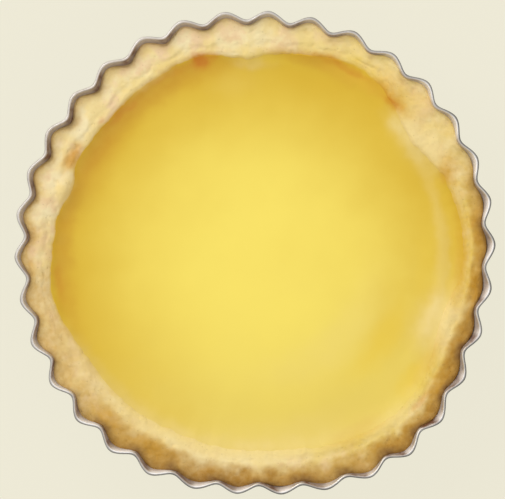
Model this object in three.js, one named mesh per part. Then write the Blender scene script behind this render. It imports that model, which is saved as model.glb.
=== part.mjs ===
// Egg tart in the fluted tin it was baked in: a thin tinplate tin, a short crust
// that lines it, and the set custard that fills the crust.
// Millimetres, +Z up. The origin is the centre of the tin's underside.
// Angles are in degrees, counter-clockwise from +X as seen from above.

import * as THREE from 'three';

// Tin
const LIP_RADIUS = 40; // mean radius over the outside of the rolled lip
const TIN_HEIGHT = 21;
const FOOT_RADIUS = 30.9; // where the wall's line would meet the table
const SHEET = 0.5; // wall and floor thickness
const FOOT_FILLET = 1.2; // bend between floor and wall
const LIP_BEAD = 0.28; // radius of the rolled lip's section
const BEAD_STOPS = [-60, 15, 90, 155]; // places round the bead that carry a ring of points
const TIN_AXIS = [0.152, -0.356]; // centre of the flutes: the bent outline is then centred on the origin

// Flutes
const FLUTES = 34;
const FLUTE_SWING = 0.69; // half the depth of a flute at the lip
const FLUTE_AT_FOOT = 0.3; // the same at the foot, as a part of that at the lip
const FIRST_FLUTE = 1.5; // angle of one outward fold
const FLUTE_DRIFT = 1.2; // how far the folds crowd away from the drift's angle
const DRIFT_ANGLE = 45;
const STEPS_PER_FLUTE = 8;

// Crust
const GAP = 0.3; // clearance between two pieces that touch
const FLOOR_CRUST = 3.2; // thickness under the custard
const CRUST_FOOT = 27; // inner radius of the crust at its floor
const INNER_LINE = 33.9; // mean radius where custard and crust meet
const CREST_SHARE = 0.4; // place of the crest between that line and the outer edge
const CREST_HEIGHT = 19.75;
const OUTER_HEIGHT = 19.2; // mean height of the crust's edge in the outward folds
const VALLEY_CLIMB = 1; // how much higher that edge stands in the valleys

// Custard
const CUSTARD_HEIGHT = 17.7; // at the centre
const CUSTARD_DISH = 0.3; // slow rise towards the crust
const MENISCUS_RISE = 1.2; // quick rise where the custard clings to the crust
const MENISCUS_REACH = 1.9;
const CUSTARD_STOPS = [0, 0.8, 2.2, 5, 12]; // distances in from its edge that carry a ring
const CUSTARD_COLUMNS = FLUTES * 4;

// Uneven places: each is [angle, half width in degrees, amount in mm]
const TIN_SWELLS = [
  [304, 13, 1.5], [318, 7, 0.4], [348, 16, -0.85], [112, 14, 0.55], [132, 8, 0.15], [192, 16, -0.45],
  [270, 9, -0.55], [239, 9, 0.25], [222, 12, 0.12], [165, 12, 0.2], [62, 20, 0.2],
];
const LINE_SWELLS = [
  [5, 12, 0.9], [35, 8, -0.4], [62, 9, 1.7], [108, 6, 0.6], [140, 7, -0.5], [191, 6, 0.9],
  [215, 9, -0.8], [250, 18, -1.3], [277, 10, -0.6], [312, 13, 1.3], [336, 6, -0.4],
];
const CRUST_TONGUES = [[37, 6, 1.3], [93, 4.5, 0.8], [161, 3.5, 1.2], [342, 6.5, 0.9]];
const FOLD_GAPS = [[335, 18, 0.3], [10, 18, 0.3], [276, 5, 0.3]]; // where it falls short of the folds
const LOW_VALLEYS = [[135, 38, -1.6], [60, 20, -0.4], [300, 12, -0.3]]; // where it climbs less
const CREST_SWELLS = [
  [20, 10, -0.1], [60, 12, -0.1], [135, 25, -0.1], [165, 8, 0.15], [250, 14, 0.15], [300, 16, -0.15],
];
const OUTER_SWELLS = [
  [130, 40, 0.35], [60, 22, 0.6], [187, 5, 0.4], [212, 5, 0.3], [300, 12, 0.55], [345, 14, -0.2],
];

const COLUMNS = FLUTES * STEPS_PER_FLUTE;
const WALL_SLOPE = (LIP_RADIUS - LIP_BEAD - SHEET / 2 - FOOT_RADIUS) / (TIN_HEIGHT - LIP_BEAD);
const SHEET_ACROSS = SHEET * Math.hypot(1, WALL_SLOPE);
const GAP_ACROSS = GAP * Math.hypot(1, WALL_SLOPE);
const CRUST_UNDERSIDE = SHEET + GAP;
const CRUST_FLOOR = CRUST_UNDERSIDE + FLOOR_CRUST;

const radians = (degrees) => degrees * Math.PI / 180;

// Angle between two directions, from -180 to 180 degrees.
const turn = (from, to) => ((to - from) % 360 + 540) % 360 - 180;

// Sum of the smooth humps in a list of uneven places, at one angle.
function unevenness(places, angle) {
  let sum = 0;
  for (const [at, halfWidth, amount] of places) {
    sum += amount * Math.exp(-0.5 * (turn(at, angle) / halfWidth) ** 2);
  }
  return sum;
}

// In and out swing of the flutes, from -1 in a valley to 1 on an outward fold.
function flute(angle) {
  const drifted = angle - FIRST_FLUTE - FLUTE_DRIFT * Math.cos(radians(angle - DRIFT_ANGLE));
  return Math.cos(FLUTES * radians(drifted));
}

// Radius of the tin's outside at one angle and height, less an inset.
function wall(angle, height, inset = 0) {
  const up = height / TIN_HEIGHT;
  const swing = FLUTE_SWING * (FLUTE_AT_FOOT + (1 - FLUTE_AT_FOOT) * up);
  const mean = FOOT_RADIUS + SHEET / 2 + WALL_SLOPE * height;
  return mean + swing * flute(angle) + up * unevenness(TIN_SWELLS, angle) - inset;
}

// Closed skin through rings of points: it starts at a point on the axis, passes
// through each ring from the underside round to the top, and ends on the axis.
function closedSkin(columns, startHeight, rings, endHeight) {
  const points = [0, 0, startHeight];
  for (const ring of rings) {
    for (let column = 0; column < columns; column += 1) {
      const angle = 360 * column / columns;
      const [radius, height] = ring(angle);
      points.push(radius * Math.cos(radians(angle)), radius * Math.sin(radians(angle)), height);
    }
  }
  points.push(0, 0, endHeight);
  const end = points.length / 3 - 1;
  const at = (ring, column) => 1 + ring * columns + column % columns;
  const faces = [];
  for (let column = 0; column < columns; column += 1) {
    faces.push(0, at(0, column + 1), at(0, column));
    for (let ring = 0; ring < rings.length - 1; ring += 1) {
      const [a, b] = [at(ring, column), at(ring, column + 1)];
      const [c, d] = [at(ring + 1, column + 1), at(ring + 1, column)];
      faces.push(a, b, c, a, c, d);
    }
    faces.push(end, at(rings.length - 1, column), at(rings.length - 1, column + 1));
  }
  const geometry = new THREE.BufferGeometry();
  geometry.setAttribute('position', new THREE.Float32BufferAttribute(points, 3));
  geometry.setIndex(faces);
  geometry.computeVertexNormals();
  return geometry;
}

// One ring of points round the rolled lip, at one place of its round section.
function beadRing(stop) {
  const centre = TIN_HEIGHT - LIP_BEAD;
  const out = LIP_BEAD * Math.cos(radians(stop));
  const up = LIP_BEAD * Math.sin(radians(stop));
  return (angle) => [wall(angle, centre, SHEET / 2) + out, centre + up];
}

function tinGeometry() {
  const underLip = TIN_HEIGHT - 2 * LIP_BEAD;
  const rings = [
    (angle) => [wall(angle, 0, FOOT_FILLET), 0],
    (angle) => [wall(angle, 0, FOOT_FILLET * 0.25), FOOT_FILLET * 0.25],
    (angle) => [wall(angle, FOOT_FILLET), FOOT_FILLET],
    (angle) => [wall(angle, underLip), underLip],
    ...BEAD_STOPS.map(beadRing),
    (angle) => [wall(angle, underLip, SHEET_ACROSS), underLip],
    (angle) => [wall(angle, FOOT_FILLET, SHEET_ACROSS), FOOT_FILLET],
    (angle) => [wall(angle, SHEET, FOOT_FILLET), SHEET],
  ];
  return closedSkin(COLUMNS, 0, rings, SHEET);
}

// Radius of the smooth line on which the crust meets the custard.
const innerLine = (angle) => INNER_LINE + unevenness(LINE_SWELLS, angle);

// The same with the tongues of crust that ran in over the custard.
const innerEdge = (angle) => innerLine(angle) - unevenness(CRUST_TONGUES, angle);

const crestHeight = (angle) => CREST_HEIGHT + unevenness(CREST_SWELLS, angle);
function outerHeight(angle) {
  const climb = (VALLEY_CLIMB + unevenness(LOW_VALLEYS, angle)) * (1 - flute(angle)) / 2;
  return OUTER_HEIGHT + unevenness(OUTER_SWELLS, angle) + climb;
}
const crustWall = (angle, height) => wall(angle, height, SHEET_ACROSS + GAP_ACROSS);

// A point of the crust's outer slope: share 0 is the crest, 1 the edge at the tin.
function outerSlope(angle, share, drop) {
  const foldGap = unevenness(FOLD_GAPS, angle) * (1 + flute(angle)) / 2;
  const edge = crustWall(angle, outerHeight(angle)) - foldGap;
  const crest = innerLine(angle) + CREST_SHARE * (edge - innerLine(angle));
  const fall = crestHeight(angle) - outerHeight(angle);
  return [crest + share * (edge - crest), crestHeight(angle) - drop * fall];
}

// Height of the custard's surface, a distance in from its edge.
function custardHeight(edge, inward) {
  const dish = CUSTARD_DISH * ((edge - inward) / edge) ** 2;
  return CUSTARD_HEIGHT + dish + MENISCUS_RISE * Math.exp(-inward / MENISCUS_REACH);
}

function crustGeometry() {
  const brink = custardHeight(INNER_LINE, 0);
  const low = CRUST_UNDERSIDE + FOOT_FILLET;
  const rings = [
    (angle) => [crustWall(angle, low) - FOOT_FILLET, CRUST_UNDERSIDE],
    (angle) => [crustWall(angle, low), low],
    (angle) => [crustWall(angle, outerHeight(angle) - 0.4), outerHeight(angle) - 0.4],
    (angle) => outerSlope(angle, 0.92, 0.85),
    (angle) => outerSlope(angle, 0.5, 0.3),
    (angle) => outerSlope(angle, 0, 0),
    (angle) => [innerLine(angle) + 0.8, crestHeight(angle) - 0.15],
    (angle) => [innerEdge(angle) + 0.3, brink + 0.2],
    (angle) => [innerEdge(angle), brink],
    () => [CRUST_FOOT, CRUST_FLOOR],
  ];
  return closedSkin(COLUMNS, CRUST_UNDERSIDE, rings, CRUST_FLOOR);
}

function custardGeometry() {
  const edge = (angle) => innerEdge(angle) - GAP_ACROSS;
  const underside = CRUST_FLOOR + GAP;
  const rings = [
    () => [CRUST_FOOT - GAP_ACROSS, underside],
    ...CUSTARD_STOPS.map((inward) => (angle) => [
      edge(angle) - inward,
      custardHeight(edge(angle), inward),
    ]),
  ];
  return closedSkin(CUSTARD_COLUMNS, underside, rings, CUSTARD_HEIGHT);
}

const tinplate = () => new THREE.MeshStandardMaterial({
  color: 0xb9b2a6, roughness: 0.3, metalness: 0.95,
});

const bakedCrust = () => new THREE.MeshStandardMaterial({
  color: 0xe6cd90, roughness: 0.85, metalness: 0,
});

const setCustard = () => new THREE.MeshStandardMaterial({
  color: 0xf0d453, roughness: 0.4, metalness: 0,
});

function piece(name, geometry, material) {
  const mesh = new THREE.Mesh(geometry, material);
  mesh.name = name;
  mesh.position.set(...TIN_AXIS, 0);
  return mesh;
}

const group = new THREE.Group();
group.add(
  piece('tin', tinGeometry(), tinplate()),
  piece('crust', crustGeometry(), bakedCrust()),
  piece('custard', custardGeometry(), setCustard()),
);

export default group;
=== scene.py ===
"""Looks of an egg tart in its fluted tin: tinplate, short crust and set custard.

Sizes are in millimetres and are turned into metres when a mesh is made. Angles are in
degrees, counter-clockwise from +X as seen from above, about the middle of the flutes.
A finish gives its relief as strength and depth in metres, and the scale of an effect in
features a metre. Where two limits bound a mask, it is 0 at the first and 1 at the second.
"""

from __future__ import annotations

import logging
import math
from collections.abc import Mapping, Sequence
from dataclasses import dataclass, field
from enum import Enum

import bpy
import numpy as np
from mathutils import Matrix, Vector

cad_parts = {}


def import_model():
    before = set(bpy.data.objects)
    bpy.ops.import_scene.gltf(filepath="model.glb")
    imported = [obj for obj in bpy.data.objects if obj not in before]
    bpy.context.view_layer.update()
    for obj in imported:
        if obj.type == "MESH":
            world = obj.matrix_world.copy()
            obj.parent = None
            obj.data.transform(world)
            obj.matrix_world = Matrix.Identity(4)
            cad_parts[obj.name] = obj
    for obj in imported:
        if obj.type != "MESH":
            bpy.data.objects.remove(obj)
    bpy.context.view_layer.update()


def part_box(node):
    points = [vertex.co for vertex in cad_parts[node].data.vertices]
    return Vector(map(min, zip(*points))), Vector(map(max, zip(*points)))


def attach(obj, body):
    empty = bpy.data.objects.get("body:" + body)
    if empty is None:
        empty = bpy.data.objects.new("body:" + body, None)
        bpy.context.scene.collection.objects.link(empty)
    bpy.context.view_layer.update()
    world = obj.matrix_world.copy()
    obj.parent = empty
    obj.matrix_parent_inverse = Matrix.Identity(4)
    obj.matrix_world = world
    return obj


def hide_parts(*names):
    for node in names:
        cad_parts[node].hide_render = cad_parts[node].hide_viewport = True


LOG = logging.getLogger("egg_tart")
MM = 0.001
SMALLEST_LENGTH = 1e-12
HASH_STEPS = (73856093, 19349663, 83492791)
HASH_SPREAD = 2654435761
HASH_STIR = 0x45D9F3B
HASH_SHIFT = 16
LOW_32_BITS = 0xFFFFFFFF
LOW_16_BITS = 0xFFFF
COLOUR_MIX_INPUTS = (0, 6, 7)
COLOUR_MIX_OUTPUT = 2
NUMBER_MIX_INPUTS = (0, 2, 3)

Array = np.ndarray
Piece = bpy.types.Object
Material = bpy.types.Material
Node = bpy.types.Node
Socket = bpy.types.NodeSocket
Tree = bpy.types.NodeTree
Rgb = tuple[float, float, float]
Spot = tuple[float, float, float]
Span = tuple[float, float]


class Slot(Enum):
    """The record's material slots."""

    TINPLATE = "tinplate"
    CRUST = "crust"
    CUSTARD = "custard"


def linear(red: int, green: int, blue: int) -> Rgb:
    """A colour of 0 to 255 a channel, as a screen shows it, in linear light."""

    def channel(value: float) -> float:
        """One channel from screen to linear."""
        return value / 12.92 if value <= 0.04045 else ((value + 0.055) / 1.055) ** 2.4

    return channel(red / 255), channel(green / 255), channel(blue / 255)


def smooth(low: float, high: float, values: Array) -> Array:
    """A soft step from 0 at low to 1 at high, which may be the lower of the two."""
    share = np.clip((values - low) / (high - low), 0, 1)
    return share * share * (3 - 2 * share)


def bell(values: Array, middle: float, half_width: float) -> Array:
    """A smooth hump of height 1 about a middle."""
    return np.exp(-0.5 * ((values - middle) / half_width) ** 2)


def apart(angles: Array, angle: float) -> Array:
    """Turn from one direction to each of some others, from -180 to 180 degrees."""
    return (angles - angle + 180) % 360 - 180


def directions(columns: int) -> Array:
    """Directions of a skin's columns, in degrees."""
    return np.arange(columns) * 360 / columns


@dataclass(frozen=True)
class Swell:
    """A smooth uneven place round the tart."""

    angle: float
    half_width: float
    amount: float

    def at(self, angles: Array) -> Array:
        """Its amount at each angle."""
        return self.amount * bell(apart(angles, self.angle), 0, self.half_width)


Swells = tuple[Swell, ...]


def swells(places: Sequence[tuple[float, float, float]]) -> Swells:
    """Uneven places from their angle, half width in degrees and amount."""
    return tuple(Swell(*place) for place in places)


def unevenness(places: Swells, angles: Array) -> Array:
    """Sum of some uneven places at each angle."""
    return sum((place.at(angles) for place in places), np.zeros_like(angles))


def share_of(places: Swells, angles: Array) -> Array:
    """Sum of some uneven places at each angle, kept between 0 and 1."""
    return np.clip(unevenness(places, angles), 0, 1)


@dataclass(frozen=True)
class Patch:
    """A soft coloured or raised place on the top of the tart."""

    angle: float
    radius: float
    half_turn: float
    half_width: float
    amount: float
    fall: float = 0.6
    flatness: float = 1.4

    def at(self, angles: Array, radii: Array) -> Array:
        """Its amount at each place, level in the middle and falling off all round.

        Args:
            angles: Directions of the places in degrees.
            radii: Their distances from the axis in mm.

        Returns:
            The amounts.
        """
        away = apart(angles, self.angle) / self.half_turn
        spread = away**2 + ((radii - self.radius) / self.half_width) ** 2
        return self.amount * np.exp(-self.fall * spread**self.flatness)


Patches = tuple[Patch, ...]


def patches(places: Sequence[tuple[float, float, float, float, float]]) -> Patches:
    """Patches from their angle, radius, half width in degrees and in mm, and amount."""
    return tuple(Patch(*place) for place in places)


def covered(places: Patches, angles: Array, radii: Array) -> Array:
    """How far some patches cover each place, from 0 to 1."""
    return np.clip(sum(place.at(angles, radii) for place in places), 0, 1)


@dataclass(frozen=True)
class Grain:
    """Smooth random relief in space, the same on each run."""

    seed: int
    gain: float = 1.4
    finer: float = 2.03
    layer_shift: float = 17.3

    def _corner(self, cell: Array, offset: Array, axis: int) -> Array:
        """One component of the random slope at a corner of each cell.

        Args:
            cell: Lowest corner of each cell.
            offset: Which corner it is, from the lowest one.
            axis: Which component of the slope.

        Returns:
            Values from -1 to 1.
        """
        key = (cell + offset).astype(np.int64) * HASH_STEPS
        mixed = key[..., 0] ^ key[..., 1] ^ key[..., 2]
        mixed = (mixed + (self.seed * 4 + axis) * HASH_SPREAD) & LOW_32_BITS
        for _ in range(2):
            mixed = ((mixed ^ (mixed >> HASH_SHIFT)) * HASH_STIR) & LOW_32_BITS
        return ((mixed ^ (mixed >> HASH_SHIFT)) & LOW_16_BITS) / (LOW_16_BITS / 2) - 1

    def one(self, points: Array) -> Array:
        """Relief with features one unit apart.

        Args:
            points: Places in space.

        Returns:
            Heights of about -1 to 1.
        """
        cell = np.floor(points)
        part = points - cell
        ease = part**3 * (part * (part * 6 - 15) + 10)
        total = np.zeros(points.shape[:-1])
        for corner in np.ndindex(2, 2, 2):
            offset = np.array(corner, float)
            weight = np.prod(np.where(offset, ease, 1 - ease), axis=-1)
            away = part - offset
            slope = sum(self._corner(cell, offset, a) * away[..., a] for a in range(3))
            total += weight * slope
        return total * self.gain

    def layered(self, points: Array, size: float, layers: int = 3, shift: float = 0.0) -> Array:
        """Relief with coarse features, and finer layers of half strength each.

        Args:
            points: Places in space, in mm.
            size: Distance between the coarse features in mm.
            layers: Number of layers.
            shift: How far off the grain is read, for a relief unlike the first.

        Returns:
            Heights, mostly between -1 and 1.
        """
        points = points + shift
        total, strength, scale = np.zeros(points.shape[:-1]), 1.0, 1 / size
        for layer in range(layers):
            total += strength * self.one(points * scale + self.layer_shift * layer)
            strength, scale = strength / 2, scale * self.finer
        return total


def put(name: str, data: bpy.types.ID) -> Piece:
    """Puts a new object in the scene.

    Args:
        name: The object's name.
        data: Its mesh, light or camera.

    Returns:
        The object.
    """
    made = bpy.data.objects.new(name, data)
    bpy.context.scene.collection.objects.link(made)
    return made


@dataclass
class Skin:
    """A closed skin through rings of points, from the underside round to the top."""

    name: str
    points: Array
    start: float
    end: float
    masks: dict[str, Array] = field(default_factory=dict)

    def normals(self) -> Array:
        """Outward direction at each point of the rings.

        Returns:
            The directions, each one unit long.
        """
        along = np.gradient(self.points, axis=0)
        around = np.roll(self.points, -1, axis=1) - np.roll(self.points, 1, axis=1)
        outward = np.cross(around, along)
        length = np.linalg.norm(outward, axis=-1, keepdims=True)
        return outward / np.maximum(length, SMALLEST_LENGTH)

    def swell(self, amount: Array) -> None:
        """Moves each point outward by an amount in mm."""
        self.points = self.points + self.normals() * amount[..., None]

    def _faces(self) -> list[tuple[int, ...]]:
        """The faces between the rings, and those that close both ends.

        Returns:
            Corner numbers of each face, with the two end points last.
        """
        rings, columns = self.points.shape[:2]
        number = np.arange(rings * columns).reshape(rings, columns)
        beside = np.roll(number, -1, axis=1)
        quads = np.stack([number[:-1], beside[:-1], beside[1:], number[1:]], axis=-1)
        first, last = rings * columns, rings * columns + 1
        low = [(first, int(b), int(a)) for a, b in zip(number[0], beside[0])]
        high = [(last, int(a), int(b)) for a, b in zip(number[-1], beside[-1])]
        return [tuple(quad) for quad in quads.reshape(-1, 4).tolist()] + low + high

    def to_object(self, middle: Span) -> Piece:
        """The skin as a smooth object in the scene.

        Args:
            middle: Where the skin's axis stands in the row frame, in mm.

        Returns:
            The new object, with each mask as a named value of its points.
        """
        ends = np.array([[0, 0, self.start], [0, 0, self.end]])
        points = np.concatenate([self.points.reshape(-1, 3), ends])
        points[:, :2] += middle
        mesh = bpy.data.meshes.new(self.name)
        mesh.from_pydata((points * MM).tolist(), [], self._faces())
        for name, mask in self.masks.items():
            values = np.concatenate([mask.ravel(), [mask[0].mean(), mask[-1].mean()]])
            attribute = mesh.attributes.new(name, "FLOAT", "POINT")
            attribute.data.foreach_set("value", values.astype(np.float32))
        mesh.shade_smooth()
        return put(self.name, mesh)


def spun(angles: Array, radii: Array, heights: Array) -> Array:
    """Points from radii and heights, each of rings by columns, in mm."""
    turn = np.radians(angles)
    return np.stack([radii * np.cos(turn), radii * np.sin(turn), heights], axis=-1)


def sweep(controls: Sequence[Sequence[Array]], steps: Sequence[int]) -> Array:
    """Rings on a smooth curve through control rings.

    Args:
        controls: For each control ring its values, each one number a column.
        steps: How many rings each span between two control rings takes.

    Returns:
        The values as an array of rings by columns by values.
    """
    width = max(np.size(value) for ring in controls for value in ring)
    held = np.array(
        [np.stack([np.broadcast_to(v, width) for v in ring], axis=-1) for ring in controls]
    )
    chords = np.linalg.norm(np.diff(held[..., :2], axis=0), axis=-1).mean(axis=1)[:, None, None]
    slopes = np.diff(held, axis=0) / chords
    bends = (slopes[:-1] * chords[1:] + slopes[1:] * chords[:-1]) / (chords[1:] + chords[:-1])
    bends = np.concatenate([slopes[:1], bends, slopes[-1:]])
    rows = []
    for span, count in enumerate(steps):
        here, there = held[span], held[span + 1]
        leave, arrive = bends[span] * chords[span], bends[span + 1] * chords[span]
        for step in range(count):
            t = step / count
            rows.append(
                (2 * t**3 - 3 * t**2 + 1) * here
                + (t**3 - 2 * t**2 + t) * leave
                + (3 * t**2 - 2 * t**3) * there
                + (t**3 - t**2) * arrive
            )
    return np.array(rows + [held[-1]])


@dataclass(frozen=True)
class TinOutline:
    """The bent, fluted line that tin and crust share."""

    middle: tuple[float, float] = (0.152, -0.356)
    lip_radius: float = 40.0
    height: float = 21.0
    foot_radius: float = 30.9
    nominal_sheet: float = 0.5
    bead: float = 0.28
    flutes: int = 34
    swing: float = 0.69
    swing_at_foot: float = 0.3
    crispness: float = 0.02
    roundness: float = 0.05
    first_flute: float = 1.5
    drift: float = 1.2
    drift_angle: float = 45.0
    uneven_swing: float = 0.12
    waves: tuple[int, int] = (7, 4)
    wave_shift: float = 1.0
    dent_depth: float = 0.0022
    dent_size: float = 9.0
    dent_squash: float = 0.5
    dent_heights: Span = (2, 8)
    bends: Swells = swells(
        [(304, 13, 1.5), (318, 7, 0.4), (348, 16, -0.85), (112, 14, 0.55), (132, 8, 0.15),
         (192, 16, -0.45), (270, 9, -0.55), (239, 9, 0.25), (222, 12, 0.12), (165, 12, 0.2),
         (62, 20, 0.2)]
    )
    deeper: Swells = swells([(62, 25, 0.1), (222, 12, 0.12), (315, 16, 0.12), (190, 25, 0.13)])
    pushed: Swells = swells([(258, 5, -0.4), (318, 14, 0.8)])
    dents: Grain = Grain(11)

    @property
    def slope(self) -> float:
        """How far the wall leans out for each mm of height."""
        bead_line = self.lip_radius - self.bead - self.nominal_sheet / 2
        return (bead_line - self.foot_radius) / (self.height - self.bead)

    @property
    def lean(self) -> float:
        """Level distance through the leaning wall for each mm through it."""
        return math.hypot(1, self.slope)

    def phase(self, angles: Array) -> Array:
        """How far round its flute a direction is, in radians from the outward fold."""
        drift = self.drift * np.cos(np.radians(angles - self.drift_angle))
        return self.flutes * np.radians(
            angles - self.first_flute - drift + unevenness(self.pushed, angles)
        )

    def fold(self, angles: Array) -> Array:
        """Place of a direction between valleys and folds.

        Args:
            angles: Directions in degrees.

        Returns:
            Values from -1 in a valley to 1 on an outward fold.
        """
        turn = self.phase(angles)
        shaped = np.cos(turn) + self.crispness * np.cos(3 * turn) - self.roundness * np.cos(2 * turn)
        return shaped / (1 + self.crispness)

    def flute(self, angles: Array) -> Array:
        """In and out swing of the flutes at the lip, a little uneven round the tin.

        Args:
            angles: Directions in degrees.

        Returns:
            Distances out from the lip's mean radius in mm.
        """
        first, second = self.waves
        uneven = self.uneven_swing * np.sin(np.radians(first * angles) + self.wave_shift)
        uneven = uneven * np.sin(np.radians(second * angles))
        return (self.swing * (1 + uneven) + unevenness(self.deeper, angles)) * self.fold(angles)

    def wall(self, angles: Array, height: Array | float, inset: float = 0.0) -> Array:
        """Radius of the tin's outside, less an inset.

        Args:
            angles: Directions in degrees.
            height: Height above the table in mm, for all or for each.
            inset: Level distance in from the outside.

        Returns:
            The radii in mm.
        """
        up = np.asarray(height) / self.height
        share = self.swing_at_foot + (1 - self.swing_at_foot) * up
        mean = self.foot_radius + self.nominal_sheet / 2 + self.slope * np.asarray(height)
        bent = up * unevenness(self.bends, angles)
        return mean + share * self.flute(angles) + bent - inset

    def dented(self, points: Array, height: Array, share: Array | float) -> Array:
        """Points moved a little in or out where the wall is dented.

        Args:
            points: The points in mm.
            height: Their heights in mm, as the foot isn't dented.
            share: How much of a dent each point takes.

        Returns:
            The moved points.
        """
        dents = self.dents.layered(points * [1, 1, self.dent_squash], self.dent_size, 2)
        dent = self.dent_depth * (share * smooth(*self.dent_heights, height)) * dents
        return points * (1 + dent[..., None] * [1, 1, 0])


class Nodes:
    """Adds the nodes of one node tree and joins them."""

    def __init__(self, tree: Tree) -> None:
        """Keeps the tree."""
        self.tree = tree

    def add(
        self, kind: str, inputs: Mapping[str | int, object] | None = None, **settings: object
    ) -> Node:
        """Adds a node.

        Args:
            kind: The node's type without its ShaderNode prefix.
            inputs: Values or sockets for its inputs, by name or number.
            settings: Values of the node's own properties.

        Returns:
            The new node.
        """
        node = self.tree.nodes.new("ShaderNode" + kind)
        for name, value in settings.items():
            setattr(node, name, value)
        self.fill(node, inputs or {})
        return node

    def feed(self, socket: Socket, value: object) -> None:
        """Joins a socket to an input, or sets the input's own value.

        Args:
            socket: The input.
            value: A socket, a colour or a number.
        """
        if isinstance(value, Socket):
            self.tree.links.new(value, socket)
        elif isinstance(value, tuple) and len(value) == 3 and socket.type == "RGBA":
            socket.default_value = (*value, 1.0)
        else:
            socket.default_value = value

    def fill(self, node: Node, inputs: Mapping[str | int, object]) -> None:
        """Feeds several inputs of a node."""
        for name, value in inputs.items():
            self.feed(node.inputs[name], value)

    def mask(self, name: str) -> Socket:
        """A value that the mesh holds at its points."""
        return self.add("Attribute", attribute_name=name).outputs["Fac"]

    def blend(self, share: object, low: object, high: object) -> Socket:
        """A colour between two, by a share from 0 to 1."""
        inputs = dict(zip(COLOUR_MIX_INPUTS, (share, low, high)))
        return self.add("Mix", inputs, data_type="RGBA").outputs[COLOUR_MIX_OUTPUT]

    def mixed(self, share: object, low: object, high: object) -> Socket:
        """A number between two, by a share from 0 to 1."""
        inputs = dict(zip(NUMBER_MIX_INPUTS, (share, low, high)))
        return self.add("Mix", inputs, data_type="FLOAT").outputs[0]

    def math(self, operation: str, *values: object) -> Socket:
        """One step of arithmetic, kept between 0 and 1."""
        inputs = dict(enumerate(values))
        return self.add("Math", inputs, operation=operation, use_clamp=True).outputs[0]

    def ranged(self, value: object, to_low: float, to_high: float, most: float = 1.0) -> Socket:
        """A value from 0 to a most, moved to another range and kept in it."""
        inputs = {"Value": value, "From Max": most, "To Min": to_low, "To Max": to_high}
        return self.add("MapRange", inputs).outputs["Result"]

    def effect(self, group: Tree, **inputs: float) -> Socket:
        """Places a shared effect with its own values and gives its output."""
        named = {name.capitalize(): value for name, value in inputs.items()}
        return self.add("Group", named, node_tree=group).outputs[0]

    def broken(self, name: str, effect: Socket, least: float) -> Socket:
        """A mask of the mesh, of which an effect leaves a least share."""
        return self.math("MULTIPLY", self.mask(name), self.ranged(effect, least, 1.0))

    def toned(
        self, colour: object, effect: Socket, tones: Sequence[tuple[str, object, float]]
    ) -> Socket:
        """A colour with tones laid over it where the mesh's masks say.

        Args:
            colour: The colour under the tones.
            effect: What breaks up the masks.
            tones: Name of its mask, colour, and least share of the mask for each tone.

        Returns:
            The toned colour.
        """
        for name, tone, least in tones:
            colour = self.blend(self.broken(name, effect, least), colour, tone)
        return colour

    def bump(self, height: Socket, strength: float, depth: float, under: Socket | None = None) -> Socket:
        """Fine relief of a surface, or pits that cut into the relief under them.

        Args:
            height: How high the surface stands, or how deep a pit is, from 0 to 1.
            strength: How strongly the relief shows.
            depth: Its depth in metres.
            under: The relief that pits cut into.

        Returns:
            The normal.
        """
        inputs = {"Height": height, "Strength": strength, "Distance": depth}
        if under is not None:
            inputs["Normal"] = under
        return self.add("Bump", inputs, invert=under is not None).outputs["Normal"]


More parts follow.
